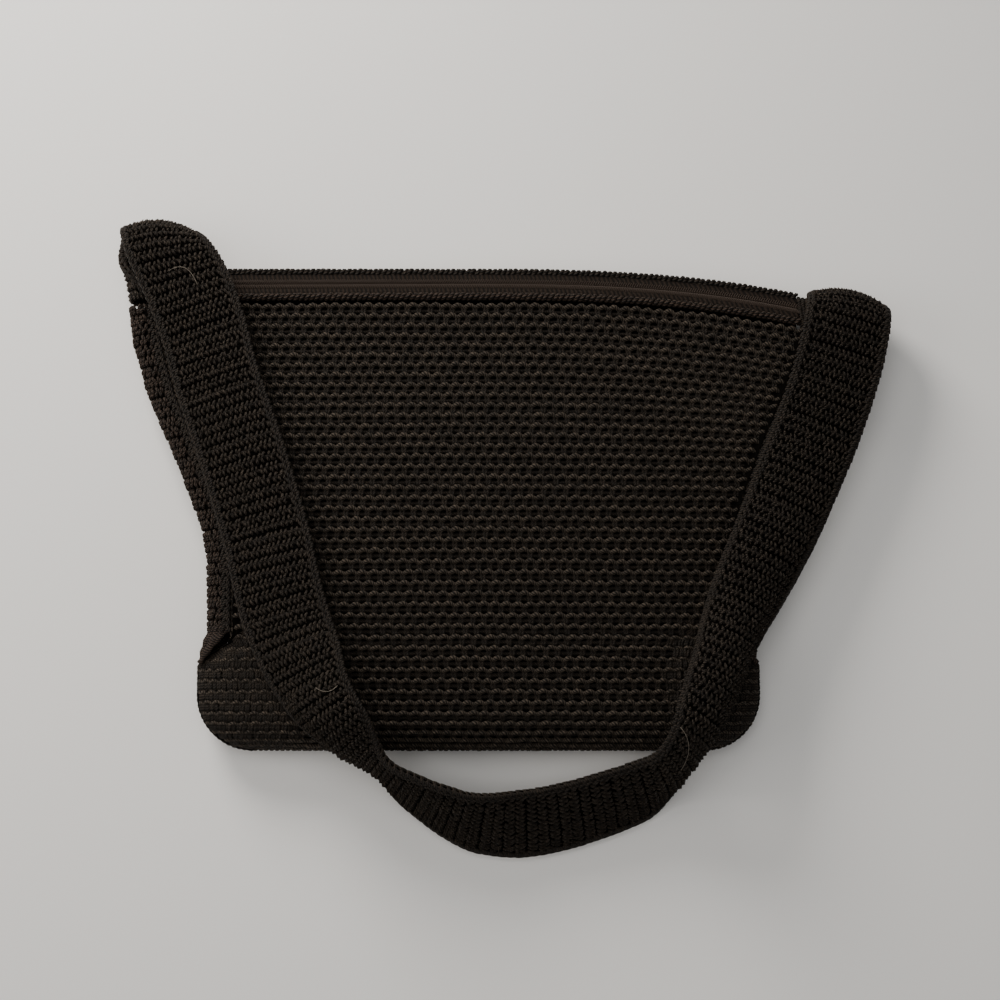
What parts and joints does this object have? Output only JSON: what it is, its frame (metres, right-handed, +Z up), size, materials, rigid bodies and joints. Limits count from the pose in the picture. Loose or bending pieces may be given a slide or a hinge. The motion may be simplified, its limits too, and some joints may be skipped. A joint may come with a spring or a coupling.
{
  "type": "crochet shoulder bag",
  "caption": "Crocheted shoulder bag lying on its back, with a zipped mouth, side gussets and a wide crocheted strap folded over both top corners and across the front.",
  "frame": {"origin": "middle of the underside of the back panel, on the surface that the bag lies on", "axes": "+X across the bag towards its right side seen from above, +Y towards the mouth, +Z up out of the surface through the front panel"},
  "size_m": [0.3848, 0.3149, 0.0583],
  "materials": {
    "crochet_yarn": "matte",
    "crochet_edging": "matte",
    "zip_tape": "matte",
    "coil_nylon": "satin",
    "slider_metal": "satin"
  },
  "bodies": {
    "root": {"front_panel": "crochet_yarn", "back_panel": "crochet_yarn", "gusset_left": "crochet_yarn", "gusset_right": "crochet_yarn", "strap": "crochet_yarn", "mouth_border_front": "crochet_edging", "mouth_border_back": "crochet_edging", "zip_tape_front": "zip_tape", "zip_tape_back": "zip_tape", "zip_chain": "coil_nylon", "zip_slider": "slider_metal"}
  },
  "joints": []
}
